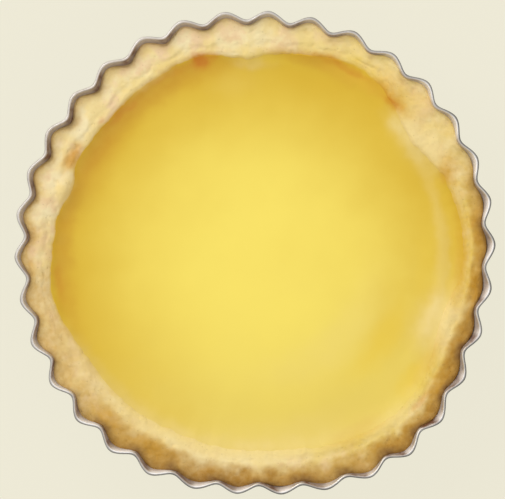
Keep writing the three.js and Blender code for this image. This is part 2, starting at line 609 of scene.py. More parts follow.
class Effects:
    """Node groups that the finishes place with their own values, each built once."""

    def __init__(self) -> None:
        """Builds the groups."""
        self.mottling = self._mottling()
        self.speckles = self._speckles()
        self.crumb = self._crumb()

    @staticmethod
    def _group(
        name: str, inputs: Mapping[str, float], output: str
    ) -> tuple[Nodes, Socket, Mapping[str, Socket], Socket]:
        """A node group with its inputs and one output.

        Args:
            name: The group's name.
            inputs: Its inputs and their usual values.
            output: The name of its output.

        Returns:
            A helper for its nodes, the place on the object, the values given to the group
            and the socket for its result.
        """
        tree = bpy.data.node_groups.new(name, "ShaderNodeTree")
        for socket, value in inputs.items():
            made = tree.interface.new_socket(socket, in_out="INPUT", socket_type="NodeSocketFloat")
            made.default_value = value
        tree.interface.new_socket(output, in_out="OUTPUT", socket_type="NodeSocketFloat")
        given, result = tree.nodes.new("NodeGroupInput"), tree.nodes.new("NodeGroupOutput")
        nodes = Nodes(tree)
        spot = nodes.add("TexCoord").outputs["Object"]
        return nodes, spot, given.outputs, result.inputs[output]

    def _mottling(self) -> Tree:
        """Soft patches: how wide they are and how sharply they end.

        Returns:
            The group.
        """
        inputs = {"Scale": 500.0, "Detail": 3.0, "Low": 0.4, "High": 0.6, "Seed": 0.0}
        nodes, spot, given, result = self._group("mottling", inputs, "Mask")
        noise = nodes.add(
            "TexNoise",
            {"Vector": spot, "W": given["Seed"], "Scale": given["Scale"], "Detail": given["Detail"]},
            noise_dimensions="4D",
        )
        ramp = nodes.add(
            "MapRange",
            {"Value": noise.outputs["Fac"], "From Min": given["Low"], "From Max": given["High"]},
            interpolation_type="SMOOTHSTEP",
        )
        nodes.feed(result, ramp.outputs["Result"])
        return nodes.tree

    def _speckles(self) -> Tree:
        """Small round spots scattered on a surface.

        Returns:
            The group.
        """
        inputs = {"Scale": 900.0, "Radius": 0.2, "Rarity": 0.5}
        nodes, spot, given, result = self._group("speckles", inputs, "Mask")
        cells = nodes.add("TexVoronoi", {"Vector": spot, "Scale": given["Scale"]})
        chance = nodes.add("SeparateColor", {"Color": cells.outputs["Color"]}).outputs[0]
        kept = nodes.math("GREATER_THAN", chance, given["Rarity"])
        inside = nodes.add(
            "MapRange",
            {"Value": cells.outputs["Distance"], "From Min": given["Radius"], "From Max": 0.0},
            interpolation_type="SMOOTHSTEP",
        )
        nodes.feed(result, nodes.math("MULTIPLY", inside.outputs["Result"], kept))
        return nodes.tree

    def _crumb(self) -> Tree:
        """Fine rough relief of a baked or pressed surface.

        Returns:
            The group.
        """
        inputs = {"Scale": 2500.0, "Roughness": 0.6}
        nodes, spot, given, result = self._group("crumb", inputs, "Height")
        noise = nodes.add(
            "TexNoise",
            {"Vector": spot, "Scale": given["Scale"], "Detail": 4.0, "Roughness": given["Roughness"]},
        )
        nodes.feed(result, noise.outputs["Fac"])
        return nodes.tree


def blank_material(name: str) -> tuple[Material, Nodes]:
    """A material without nodes.

    Args:
        name: The material's name.

    Returns:
        The material, and a helper that adds its nodes.
    """
    material = bpy.data.materials.new(name)
    material.use_nodes = True
    material.node_tree.nodes.clear()
    return material, Nodes(material.node_tree)


def new_material(name: str) -> tuple[Material, Nodes, Node]:
    """A material with one main shader, joined to its output.

    Args:
        name: The material's name.

    Returns:
        The material, a helper for its nodes, and the shader.
    """
    material, nodes = blank_material(name)
    shader = nodes.add("BsdfPrincipled")
    nodes.add("OutputMaterial", {"Surface": shader.outputs["BSDF"]})
    return material, nodes, shader


@dataclass(frozen=True)
class TinplateFinish:
    """Thin pressed tinplate, dulled by the oven."""

    metal: Rgb = linear(236, 231, 225)
    dull: Rgb = linear(220, 213, 205)
    # Near-white painted glint on the inner wall just below the lip.
    painted_glint: Rgb = linear(254, 251, 250)
    # Painted brown shade on the inner wall and lip of the upper-left side, and low on the inner wall
    # towards the crust.
    wall_shade: Rgb = linear(174, 154, 134)
    # Brown deposit baked on, which also stands as painted shade on the flank of each flute turned from
    # the light.
    burnt_and_shade: Rgb = linear(114, 71, 43)
    # Painted shade and dark reflection on the outer side of the rolled edge.
    edge_shade: Rgb = linear(122, 121, 118)
    polish: float = 0.55
    smooth_metal: float = 0.28
    worn_metal: float = 0.44
    rough_film: float = 0.75
    relief: Span = (0.1, 0.00008)

    def material(self, effects: Effects) -> Material:
        """Metal with dull patches, a painted glint below the lip, painted shade on the outer side of the
        rolled edge and on the inner wall, and brown deposit baked on, with painted shade on the flanks
        turned from the light.

        Args:
            effects: The shared effects.

        Returns:
            The material.
        """
        material, nodes, shader = new_material("tinplate")
        dulled = nodes.effect(effects.mottling, scale=260.0, detail=5.0, low=0.36, high=0.66)
        fine = nodes.effect(effects.mottling, scale=1700.0, detail=3.0, low=0.3, high=0.7, seed=3.0)
        spots = nodes.effect(effects.mottling, scale=620.0, detail=4.0, low=0.4, high=0.62, seed=7.0)
        crumb = nodes.effect(effects.crumb, scale=900.0, roughness=0.5)
        # Share of the painted glint.
        matt = nodes.mask("painted_glint")
        # Painted brown shade on the inner wall and lip.
        wall_shaded = nodes.broken("wall_shade", fine, 0.7)
        # Brown deposit baked on, with painted shade on flanks turned from the light.
        baked = nodes.broken("residue_and_shade", spots, 0.5)
        # Painted shade on the rolled edge's outer side.
        edged = nodes.broken("edge_shade", dulled, 0.8)
        colour = nodes.blend(dulled, self.metal, self.dull)
        for share, tone in (
            (matt, self.painted_glint), (wall_shaded, self.wall_shade), (edged, self.edge_shade), (baked, self.burnt_and_shade),
        ):
            colour = nodes.blend(share, colour, tone)
        hidden = nodes.math("MAXIMUM", nodes.math("MAXIMUM", wall_shaded, baked), matt)
        open_metal = nodes.ranged(fine, self.smooth_metal, self.worn_metal)
        nodes.fill(shader, {
            "Base Color": colour,
            "Metallic": nodes.ranged(hidden, self.polish, 0.0),
            "Roughness": nodes.mixed(hidden, open_metal, self.rough_film),
            "Normal": nodes.bump(crumb, *self.relief),
        })
        return material


@dataclass(frozen=True)
class FillingTones:
    """Colours of the custard, which also smears the crust at its edge."""

    bright: Rgb = linear(250, 228, 100)
    golden: Rgb = linear(220, 182, 46)
    creamy: Rgb = linear(231, 205, 92)
    brown: Rgb = linear(205, 150, 34)
    scorch: Rgb = linear(206, 124, 24)
    cream: Rgb = linear(236, 211, 134)
    yolk: Rgb = linear(236, 203, 62)


@dataclass(frozen=True)
class CrustFinish:
    """Pale baked short crust with browner edges, partly painted shade."""

    pale: Rgb = linear(245, 229, 182)
    buttery: Rgb = linear(242, 219, 154)
    yolky: Rgb = linear(230, 200, 100)
    rosy: Rgb = linear(238, 208, 164)
    tan: Rgb = linear(214, 178, 108)
    cream: Rgb = linear(243, 219, 152)
    # Brown of toasting, also painted shade on the outer slope turned from the light, and in hollows.
    toast_and_shade: Rgb = linear(184, 137, 54)
    # Dark brown by the tin: browning with painted shade, on the side turned from the light.
    deep: Rgb = linear(116, 82, 45)
    filling: FillingTones = FillingTones()
    # How strongly painted shade darkens the pores.
    pore_shade: float = 0.3
    roughness: Span = (0.72, 0.95)
    specular: float = 0.25
    relief: Span = (0.3, 0.0002)
    pore_relief: Span = (0.4, 0.00015)

    def material(self, effects: Effects) -> Material:
        """Matt crumb with mottling, pores and browning, with painted shade in the pores, in hollows and
        on the brown side turned from the light.

        Args:
            effects: The shared effects.

        Returns:
            The material.
        """
        material, nodes, shader = new_material("short_crust")
        buttery = nodes.effect(effects.mottling, scale=230.0, detail=3.0, low=0.38, high=0.62)
        rosy = nodes.effect(effects.mottling, scale=330.0, detail=3.0, low=0.46, high=0.68, seed=5.0)
        pores = nodes.effect(effects.speckles, scale=1500.0, radius=0.2, rarity=0.6)
        flecks = nodes.effect(effects.mottling, scale=1300.0, detail=4.0, low=0.3, high=0.72, seed=9.0)
        crumb = nodes.effect(effects.crumb, scale=2100.0, roughness=0.65)
        filling = self.filling
        smeared = nodes.blend(nodes.mask("low_side"), filling.golden, filling.creamy)
        colour = nodes.blend(buttery, self.pale, self.buttery)
        colour = nodes.blend(rosy, colour, self.rosy)
        # Toasting and the dark brown by the tin carry painted shade as well as browning; hollows take
        # painted shade.
        colour = nodes.toned(colour, flecks, (
            ("tan", self.tan, 0.75), ("yolky", self.yolky, 0.8), ("smear", smeared, 0.9),
            ("cream", self.cream, 0.8), ("yolk", filling.yolk, 0.85), ("toast_and_shade", self.toast_and_shade, 0.86),
            ("gold", filling.brown, 0.85), ("scorch", filling.scorch, 0.8), ("deep", self.deep, 0.8),
            # Painted shade in the hollows of the relief.
            ("hollow", self.toast_and_shade, 0.8),
        ))
        shader.inputs["Specular IOR Level"].default_value = self.specular
        nodes.fill(shader, {
            # Pores darkened with painted shade.
            "Base Color": nodes.blend(nodes.math("MULTIPLY", pores, self.pore_shade), colour, self.deep),
            "Roughness": nodes.ranged(flecks, *self.roughness),
            "Normal": nodes.bump(pores, *self.pore_relief, under=nodes.bump(crumb, *self.relief)),
        })
        return material


@dataclass(frozen=True)
class CustardFinish:
    """Smooth set custard, bright in the middle and golden at its edge."""

    tones: FillingTones = FillingTones()
    clouding: float = 0.09
    roughness: Span = (0.42, 0.55)
    specular: float = 0.35
    relief: Span = (0.12, 0.0004)

    def material(self, effects: Effects) -> Material:
        """Satin skin, coloured by how far out a place is and how the oven browned it.

        Args:
            effects: The shared effects.

        Returns:
            The material.
        """
        material, nodes, shader = new_material("set_custard")
        clouds = nodes.effect(effects.mottling, scale=90.0, detail=2.0, low=0.3, high=0.7)
        ripple = nodes.effect(effects.mottling, scale=420.0, detail=3.0, low=0.3, high=0.7, seed=4.0)
        crumb = nodes.effect(effects.crumb, scale=260.0, roughness=0.45)
        tones = self.tones
        outer = nodes.blend(nodes.mask("low_side"), tones.golden, tones.creamy)
        share = nodes.math("ADD", nodes.mask("outer"), nodes.ranged(clouds, 0.0, self.clouding))
        colour = nodes.toned(nodes.blend(share, tones.bright, outer), ripple, (
            ("gold", tones.brown, 0.8), ("cream", tones.cream, 0.75), ("yolk", tones.yolk, 0.85),
            ("scorch", tones.scorch, 0.75),
        ))
        shader.inputs["Specular IOR Level"].default_value = self.specular
        nodes.fill(shader, {
            "Base Color": colour,
            "Roughness": nodes.ranged(ripple, *self.roughness),
            "Normal": nodes.bump(crumb, *self.relief),
        })
        return material


def stand_in(made: Piece, material: Material, node: str, slot: Slot) -> Piece:
    """Gives a piece its finish and stands it in for its solid.

    Args:
        made: The piece.
        material: Its finish.
        node: The solid that it replaces.
        slot: The record's slot that the finish belongs to; not used.

    Returns:
        The piece.
    """
    made.data.materials.append(material)
    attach(made, "root")
    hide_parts(node)
    return made


@dataclass
class Tin:
    """The fluted tin with its rolled lip.

    The side of a point is 0 outside and 1 inside, and between them round the lip.
    """

    outline: TinOutline
    sheet: float = 0.35
    columns: int = 34 * 28
    fillet: float = 1.2
    floor_radius: float = 12.0
    bead_turn: Span = (-70, 190)
    bead_rings: int = 22
    fillet_rings: int = 7
    outer_rings: int = 24
    inner_rings: int = 12
    clear_of_fillet: Span = (0.3, 0.8)
    clear_of_lip: float = 0.15
    upper_wall: Span = (15, 19)
    inner_face: Span = (0.52, 0.85)
    inner_retreat: Span = (0.12, 0.07)
    under_lip_side: Span = (0.54, 0.68)
    lip_side: Span = (0.25, 0.55)
    lip_heights: Span = (20, 20.6)
    # Where the rolled edge's outer side takes painted shade.
    outer_edge: Span = (0.72, 0.56)
    edge_heights: Span = (19.8, 20.3)
    # Heights over which painted shade darkens the inner wall towards the crust.
    deep_down: Span = (20.3, 18.8)
    far_side: tuple[Span, Span] = ((180, 205), (360, 340))
    # Painted shade on the flank of each flute turned from the light, and near the crust on the
    # upper-left side.
    dark_flank_turn: Span = (0.8, 0.65)
    dark_flank_fall: Span = (-0.4, 0.75)
    upper_dark: float = 0.7
    upper_dark_heights: Span = (20.4, 19.5)
    # Shares of painted shade on the lip, on the wall, and low down.
    wall_shade_shares: tuple[float, float, float] = (0.25, 0.55, 0.75)
    # Painted glint: how far it reaches round each flute and how it fades.
    glint_reach: float = 0.5
    glint_fall: Span = (1.1, 0.4)
    # Strength of the painted edge shade and its limits.
    usual_edge_shade: float = 0.4
    edge_shade_limits: Span = (-0.4, 0.5)
    finish: TinplateFinish = TinplateFinish()
    # Side of the tin whose inner wall and lip take painted shade.
    wall_shaded: Swells = swells([(135, 40, 0.9)])
    # Places round the tin with brown deposit and painted shade.
    burnt_and_shade: Swells = swells(
        [(138, 34, 0.95), (72, 18, 0.5), (228, 34, 0.9), (295, 20, 1.0), (335, 18, 0.8), (22, 24, 0.35)]
    )
    # Places round the tin that take the painted glint.
    glint_places: Swells = swells([(8, 32, 1.0), (236, 36, 1.0), (322, 14, 0.9), (276, 4, 1.0)])
    # Where the painted edge shade is stronger, mostly on the side turned from the light.
    edge_shaded: Swells = swells([(300, 80, 0.5), (30, 40, 0.25), (135, 45, -0.4)])
    # Painted glint: which flank it lies on, and where it is narrower.
    glint_side: Swells = swells([(235, 25, 0.4), (15, 40, -0.3)])
    glint_narrowing: Swells = swells([(305, 35, 0.7)])

    def rings(self, angles: Array) -> Array:
        """Rings from the underside up the outside, over the lip and down to the floor inside.

        Args:
            angles: Directions in degrees.

        Returns:
            Radius, height and side of each point, by rings and columns.
        """
        line = self.outline
        under = line.height - 2 * line.bead
        centre = line.height - line.bead
        across = self.sheet * line.lean
        above_outside, above_inside = (self.fillet + clear for clear in self.clear_of_fillet)
        even = np.ones(len(angles))

        def ring(radius: Array | float, height: float, side: float) -> Array:
            """One ring."""
            return np.stack([radius * even, height * even, side * even], -1)

        def wall(height: float, inset: float, side: float) -> Array:
            """A ring on the wall."""
            return ring(line.wall(angles, height, inset), height, side)

        def straight(low: Array, high: Array, count: int) -> Array:
            """Rings on straight lines between two rings, without the last."""
            return low + np.arange(count)[:, None, None] / count * (high - low)

        def bend(height: float, inset: float, side: float) -> Array:
            """Rings round the bend between floor and wall."""
            base = line.wall(angles, self.fillet, inset)
            return np.array([
                ring(
                    base - self.fillet * (1 - np.sin(stop)),
                    height + self.fillet * (1 - np.cos(stop)),
                    side,
                )
                for stop in np.radians(np.linspace(0, 90, self.fillet_rings))
            ])

        spine = line.wall(angles, centre, line.nominal_sheet / 2)
        stops = np.radians(np.linspace(*self.bead_turn, self.bead_rings))
        bead = np.array([
            ring(spine + line.bead * np.cos(stop), centre + line.bead * np.sin(stop), side)
            for stop, side in zip(stops, np.linspace(0, 1, self.bead_rings))
        ])
        lowered = under - self.clear_of_lip
        return np.concatenate([
            ring(self.floor_radius, 0, 0)[None],
            bend(0, 0, 0),
            straight(wall(above_outside, 0, 0), wall(under, 0, 0), self.outer_rings),
            bead,
            straight(wall(lowered, across, 1), wall(above_inside, across, 1), self.inner_rings),
            bend(self.sheet, across, 1)[::-1],
            ring(self.floor_radius, self.sheet, 1)[None],
        ])

    def masks(self, angles: Array, height: Array, side: Array) -> dict[str, Array]:
        """Where the tin has painted shade on its inner wall, brown deposit with painted shade on its
        flanks, a painted glint, and painted shade on its rolled edge.

        Args:
            angles: Directions of the columns in degrees.
            height: Height of each point in mm.
            side: Side of each point.

        Returns:
            The share of each at each point, by name.
        """
        upper = share_of(self.wall_shaded, angles)
        top_of_wall = smooth(*self.upper_wall, height)
        inside = smooth(*self.inner_face, side) * top_of_wall
        begins, ends = (
            limit + retreat * upper for limit, retreat in zip(self.inner_face, self.inner_retreat)
        )
        within = smooth(begins, ends, side) * top_of_wall
        below_lip = smooth(*self.under_lip_side, side) * top_of_wall
        lip = smooth(*self.lip_side, side) * smooth(*self.lip_heights, height)
        outer_edge = smooth(*self.outer_edge, side) * smooth(*self.edge_heights, height)
        deep_down = smooth(*self.deep_down, height)
        turned = self.outline.phase(angles)
        lower = smooth(*self.far_side[0], angles) * smooth(*self.far_side[1], angles)
        # Painted shade on the flank of each flute turned from the light.
        dark_turn = np.pi * (self.dark_flank_turn[0] + self.dark_flank_turn[1] * lower)
        dark_flank = smooth(*self.dark_flank_fall, np.cos(turned - dark_turn))
        high_dark = self.upper_dark * upper * smooth(*self.upper_dark_heights, height)
        # Painted glint on the flank of each flute turned to the light, just below the lip.
        narrow = unevenness(self.glint_narrowing, angles)
        side_on = np.cos(turned - np.pi * unevenness(self.glint_side, angles))
        fall = self.glint_fall[0] - self.glint_fall[1] * narrow
        glint = np.clip((side_on + self.glint_reach - narrow) / fall, 0, 1)
        # Painted shade on the upper-left inner wall and lip, and more of it low down towards the crust.
        on_lip, on_wall, low_down = self.wall_shade_shares
        wall_shade = (on_lip * lip + on_wall * inside) * upper
        # Painted shade on the outer side of the rolled edge, strongest away from the light.
        dark = self.usual_edge_shade + np.clip(unevenness(self.edge_shaded, angles), *self.edge_shade_limits)
        return {
            # Brown deposit baked on, with painted shade.
            "residue_and_shade": within * np.maximum(dark_flank, high_dark) * share_of(self.burnt_and_shade, angles),
            # Painted shade on the inner wall.
            "wall_shade": np.maximum(wall_shade, low_down * inside * deep_down),
            # Painted glint.
            "painted_glint": below_lip * glint * (1 - deep_down) * share_of(self.glint_places, angles),
            # Painted shade on the rolled edge.
            "edge_shade": outer_edge * dark,
        }

    def build(self, effects: Effects) -> Piece:
        """Makes the tin and dresses it.

        Args:
            effects: The shared effects of the finishes.

        Returns:
            The tin's object.
        """
        angles = directions(self.columns)
        radius, height, side = np.moveaxis(self.rings(angles), -1, 0)
        skin = Skin("tin_shell", spun(angles, radius, height), 0.0, self.sheet)
        skin.points = self.outline.dented(skin.points, height, 1.0)
        skin.masks = self.masks(angles, height, side)
        made = skin.to_object(self.outline.middle)
        return stand_in(made, self.finish.material(effects), "tin", Slot.TINPLATE)


@dataclass(frozen=True)
class FillingLine:
    """The line where custard and crust meet, and the custard's level."""

    radius: float = 33.9
    level: float = 17.7
    dish: float = 0.3
    rise: float = 1.2
    reach: float = 1.9
    under_crust: float = 0.5
    raggedness: float = 0.2
    ragged_size: float = 2.4
    low_side: Swells = swells([(262, 27, 0.95), (318, 26, 0.85)])
    line: Swells = swells(
        [(5, 12, 0.9), (35, 8, -0.4), (62, 9, 1.7), (108, 6, 0.6), (140, 7, -0.5), (191, 6, 0.9),
         (215, 9, -0.8), (250, 18, -1.3), (277, 10, -0.6), (312, 13, 1.3), (336, 6, -0.4)]
    )
    tongues: Swells = swells([(37, 6, 1.3), (93, 4.5, 0.8), (161, 3.5, 1.2), (342, 6.5, 0.9)])
    crumbs: Grain = Grain(53)

    @property
    def brink(self) -> float:
        """Height of the custard's edge."""
        return self.level + self.dish + self.rise

    def smooth_line(self, angles: Array) -> Array:
        """Radius of the line without the tongues of crust."""
        return self.radius + unevenness(self.line, angles)

    def edge(self, angles: Array) -> Array:
        """Radius of the ragged line with the tongues that ran in over the custard.

        Args:
            angles: Directions in degrees.

        Returns:
            The radii in mm.
        """
        line = self.smooth_line(angles) - unevenness(self.tongues, angles)
        ragged = self.crumbs.layered(spun(angles, line, np.zeros_like(line)), self.ragged_size)
        return line + self.raggedness * ragged

    def surface(self, edge: Array, inward: Array) -> Array:
        """Height of the custard near and far from its edge.

        Args:
            edge: Radius of the edge at each place in mm.
            inward: Distance in from the edge, or out under the crust where it is below 0.

        Returns:
            The heights in mm.
        """
        dish = self.dish * ((edge - inward) / edge) ** 2
        cling = self.rise * np.exp(-np.maximum(inward, 0) / self.reach)
        return self.level + dish + cling + self.under_crust * np.minimum(inward, 0)

    def lowness(self, angles: Array) -> Array:
        """How far a direction is on the creamy side, from 0 to 1."""
        return share_of(self.low_side, angles)


@dataclass(frozen=True)
class TopTones:
    """Where the oven coloured the top, and a few patches of painted light, shared by crust and custard
    so that no tone stops dead.
    """

    stray: Grain = Grain(71)
    stray_size: float = 2.4
    stray_turn: float = 1.5
    stray_reach: float = 0.5
    stray_shift: float = 31.0
    along_edge: Patches = patches(
        [(98, 32.4, 12, 1.0, 0.2), (131, 32.0, 25, 1.9, 0.8), (178, 32.5, 20, 1.6, 0.65),
         (152, 29.8, 12, 1.7, 0.3), (331, 25, 9, 2.2, 0.15)]
    )
    gold: Patches = patches(
        [(50, 34.5, 5, 1.2, 0.7), (64, 33.7, 8, 1.2, 0.5), (77, 33.8, 8, 0.9, 0.6),
         (110, 34.2, 8, 0.9, 0.3), (152, 34.6, 3.5, 1.0, 0.8), (6, 34.7, 14, 1.1, 0.35),
         (353, 34.2, 7, 1.0, 0.25), (328, 33.8, 7, 1.4, 0.3), (299, 34.2, 7, 1.5, 0.28),
         (23, 34.5, 3, 1.0, 0.6), (25, 36.3, 3, 0.8, 0.3),
         (228, 36.6, 4, 1.2, 0.4), (241, 36.4, 4, 1.2, 0.4), (352, 36.9, 4, 1.0, 0.5),
         (7, 37.0, 5, 1.0, 0.3), (324, 36.8, 4, 1.0, 0.4)]
    )
    # Cream patches at 91, 92 and 122 degrees are painted light: paler colour that lifts the shade on the
    # slope by the custard's edge.
    cream: Patches = patches(
        [(4, 31.3, 22, 0.9, 0.35), (35, 33.2, 8, 2.4, 0.8), (340, 32.4, 7.5, 3.0, 0.95),
         (309, 35.6, 6, 1.2, 0.5), (264, 33.4, 26, 2.0, 0.75), (232, 33.4, 12, 1.8, 0.4),
         (213, 34.0, 9, 1.6, 0.4), (98, 29.0, 7, 2.2, 0.1), (161, 34.0, 2.6, 1.0, 1.0),
         (91, 32.3, 4.5, 1.0, 0.5), (278, 30.0, 18, 2.0, 0.2), (77, 37.2, 4, 0.9, 0.6),
         (92, 34.1, 6, 0.9, 0.6), (122, 34.3, 6, 0.8, 0.5), (60, 37.6, 12, 1.0, 0.35),
         (31, 34.9, 3.5, 1.2, 0.5), (42, 32.2, 4, 1.3, 0.5), (312, 20.0, 32, 2.8, 0.2)]
    )
    yolk: Patches = patches(
        [(326, 25.6, 14, 2.0, 0.65), (322, 32.8, 5, 1.1, 0.5), (355, 28.4, 10, 1.3, 0.3),
         (60, 36.1, 13, 1.3, 0.4), (97, 35.4, 12, 1.2, 0.12), (120, 35.2, 8, 0.9, 0.2),
         (60, 34.3, 13, 1.2, 0.6), (86, 33.2, 8, 1.0, 0.4)]
    )
    scorch: Patches = patches(
        [(105.4, 33.7, 3.0, 1.1, 1.0), (116, 33.5, 8, 0.6, 0.35), (133, 32.7, 5, 0.6, 0.45),
         (138.7, 34.1, 1.4, 0.4, 0.4), (152, 34.6, 3.2, 0.7, 0.25), (66, 34.8, 8, 0.6, 0.4),
         (48, 34.0, 2.2, 0.6, 0.5), (188, 33.2, 4, 0.7, 0.3), (318, 36.6, 2.5, 0.5, 0.4),
         (60, 34.5, 14, 1.2, 0.25), (178, 37.6, 5, 0.8, 0.12), (49, 37.0, 7, 1.2, 0.16)]
    )

    def masks(self, points: Array, angles: Array, radii: Array, edge_share: float) -> dict[str, Array]:
        """The four tones at each place of the top.

        Args:
            points: The places in space, which make the patches' edges ragged.
            angles: Their directions in degrees.
            radii: Their distances from the axis in mm.
            edge_share: How much of the gold along the custard's edge the piece takes.

        Returns:
            The share of each tone, by name.
        """
        level = points * [1, 1, 0]
        turned = angles + self.stray_turn * self.stray.layered(level, self.stray_size)
        strayed = self.stray.layered(level, self.stray_size, shift=self.stray_shift)
        moved = radii + self.stray_reach * strayed
        tones = {"gold": self.gold, "cream": self.cream, "yolk": self.yolk, "scorch": self.scorch}
        masks = {name: covered(places, turned, moved) for name, places in tones.items()}
        along_edge = edge_share * covered(self.along_edge, turned, moved)
        masks["gold"] = np.maximum(masks["gold"], along_edge)
        return masks


@dataclass
class Crust:
    """The short crust that lines the tin.

    The station of a point is 1 at the rim and a little more on the outer face below it, 0 on
    the crest, -1 at the custard's edge and a little less under the custard.
    """

    outline: TinOutline
    filling: FillingLine
    tones: TopTones
    inset: float = 0.32
    columns: int = 34 * 32
    steps: tuple[int, ...] = (2, 2, 2, 2, 4, 5, 9, 11, 13, 13, 9, 6, 6, 3)
    underside: float = 0.4
    foot_rise: float = 1.2
    foot_straight: float = 1.2
    foot_station: float = 1.3
    outer_face: tuple[Spot, ...] = ((2.9, 0.0, 1.2), (1.7, 0.0, 1.2), (0.8, 0.4, 1.1))
    rim_drop: float = 0.25
    rim_bend: tuple[Spot, ...] = ((0.9, 0.86, 0.9), (0.5, 0.36, 0.5), (0.0, 0.0, 0.0))
    slope_share: float = 0.4
    slope_out: float = 0.7
    slope_drop: float = 0.14
    slope_station: float = -0.4
    custard_side: tuple[Spot, ...] = ((0.6, 0.28, -0.8), (0.0, 0.0, -1.0), (-0.5, -0.62, -1.2))
    floor: float = 4.0
    floor_radius: float = 27.0
    floor_station: float = -1.4
    crest_share: float = 0.4
    crest_height: float = 19.75
    outer_height: float = 19.2
    valley_climb: float = 1.0
    top_span: Span = (1.1, 0.95)
    dent_span: Span = (0, 0.9)
    relief_span: Span = (1.06, 0.9)
    relief_at_custard: float = 0.4
    relief_from_custard: Span = (-1.1, -0.6)
    swelling: float = 0.14
    swelling_size: float = 4.0
    ridges: float = 0.12
    ridge_size: float = 1.4
    ridge_squash: float = 1.3
    ridge_shift: float = 40.0
    pits: float = 0.24
    pit_size: float = 0.8
    pit_rarity: float = 0.25
    pit_shift: float = 90.0
    patch_size: float = 3.0
    patch_shift: float = 7.0
    smear_reach: Span = (0.35, 1.65)
    smear_share: Span = (0.45, 0.25)
    smear_stray: float = 0.2
    stain_patching: float = 0.6
    tan_patching: float = 0.8
    tan_stray: float = 0.2
    toast_and_shade_stray: float = 0.42
    deep_stray: float = 0.25
    pale_retreat: float = 0.15
    # Dark brown by the tin, browning with painted shade: how it spreads on folds and valleys.
    burn_and_shade_on_folds: float = 0.5
    at_tin_span: Span = (0.3, 0.95)
    # Span of toasting with painted shade towards the tin.
    toast_and_shade_span: Span = (-0.15, 0.85)
    deep_span: Span = (0.38, 1.0)
    valley_span: Span = (0.6, -0.8)
    usual_burn_and_shade: float = 0.25
    # Painted shade in the relief's hollows: depth for full shade, and its share.
    hollow_depth: float = 0.4
    hollow_shade_share: float = 0.25
    low_valleys: Swells = swells([(135, 38, -1.6), (60, 20, -0.4), (300, 12, -0.3)])
    crest_swells: Swells = swells(
        [(20, 10, -0.1), (60, 12, -0.1), (135, 25, -0.1), (165, 8, 0.15), (250, 14, 0.15),
         (300, 16, -0.15)]
    )
    outer_swells: Swells = swells(
        [(130, 40, 0.35), (60, 22, 0.6), (187, 5, 0.4), (212, 5, 0.3), (300, 12, 0.55), (345, 14, -0.2)]
    )
    fold_gaps: Swells = swells([(335, 18, 0.3), (10, 18, 0.3), (276, 5, 0.3)])
    lumps: Patches = patches(
        [(161, 34.1, 2.3, 0.9, 0.55), (93, 33.3, 4, 0.9, 0.15), (37, 33.4, 6, 1.2, 0.15),
         (342, 34.0, 5, 1.0, 0.15), (214, 34.4, 4, 0.8, 0.25), (306, 36.2, 4, 0.9, 0.2)]
    )
    # Where the outer slope turns brown and takes painted shade, on the side turned from the light.
    browned_and_shaded: Swells = swells(
        [(231, 5, 0.65), (243, 6, 0.8), (258, 7, 0.95), (272, 7, 0.85), (284, 5, 0.7), (295, 5, 0.65),
         (307, 6, 0.9), (319, 6, 0.9), (331, 6, 0.95), (341, 5, 0.6), (352, 6, 0.9), (5, 6, 0.75),
         (16, 6, 0.6)]
    )
    browned_and_shaded_further: Swells = swells(
        [(238, 12, 0.35), (275, 12, 0.15), (302, 10, 0.2), (330, 9, 0.15), (345, 22, 0.25)]
    )
    tanned: Swells = swells([(197, 20, 0.65), (212, 12, 0.3), (230, 14, 0.45), (30, 16, 0.25)])
    tanned_edge: Swells = swells([(135, 35, 0.7), (197, 22, 1.2)])
    # Places where the dark brown by the tin, browning with painted shade, is stronger.
    burnt_and_shaded_edge: Swells = swells([(135, 35, 0.1), (206, 18, 0.68)])
    yolk_stained: Swells = swells(
        [(299, 14, 0.7), (328, 14, 0.6), (358, 16, 0.8), (24, 14, 0.35), (60, 14, 0.5), (240, 12, 0.45)]
    )
    edge_share: float = 0.25
    finish: CrustFinish = CrustFinish()
    crumb: Grain = Grain(23)

    def rings(self, angles: Array) -> Array:
        """Rings from the underside up the tin's wall, over the crest and down under the custard.

        Args:
            angles: Directions in degrees.

        Returns:
            Radius, height and station of each point, by rings and columns.
        """
        inset = self.inset * self.outline.lean
        crest_height = self.crest_height + unevenness(self.crest_swells, angles)
        fold = self.outline.fold(angles)
        climb = (self.valley_climb + unevenness(self.low_valleys, angles)) * (1 - fold) / 2
        outer_height = self.outer_height + unevenness(self.outer_swells, angles) + climb
        gap = unevenness(self.fold_gaps, angles) * (1 + fold) / 2
        outer = self.outline.wall(angles, outer_height, inset) - gap
        line, edge = self.filling.smooth_line(angles), self.filling.edge(angles)
        crest = line + self.crest_share * (outer - line)
        fall, brink = crest_height - outer_height, self.filling.brink

        def wall(height: Array | float) -> Array:
            """Radius of the crust's outer face at a height."""
            return self.outline.wall(angles, height, inset)

        low = self.underside + self.foot_rise
        low_end = low + self.foot_straight
        between = (1 - self.slope_share) * crest + self.slope_share * (edge + self.slope_out)
        controls = [
            # The rounded foot, and the straight start of the outer face.
            (wall(low) - self.foot_rise, self.underside, self.foot_station),
            (wall(low), low, self.foot_station),
            (wall(low_end), low_end, self.foot_station),
            # The upper end of the outer face: drops below the rim and shares of the gap.
            *(
                (wall(outer_height - drop) - share * gap, outer_height - drop, station)
                for drop, share, station in self.outer_face
            ),
            # The rim and its round back to the crest: shares of the way out and down.
            (outer, outer_height - self.rim_drop, 1.0),
            *(
                (crest + out * (outer - crest), crest_height - down * fall, station)
                for out, down, station in self.rim_bend
            ),
            # The slope to the custard's edge and on under it: distances out and up from it.
            (between, crest_height - self.slope_drop, self.slope_station),
            *((edge + out, brink + up, station) for out, up, station in self.custard_side),
            (self.floor_radius, self.floor, self.floor_station),
        ]
        return sweep(controls, self.steps)

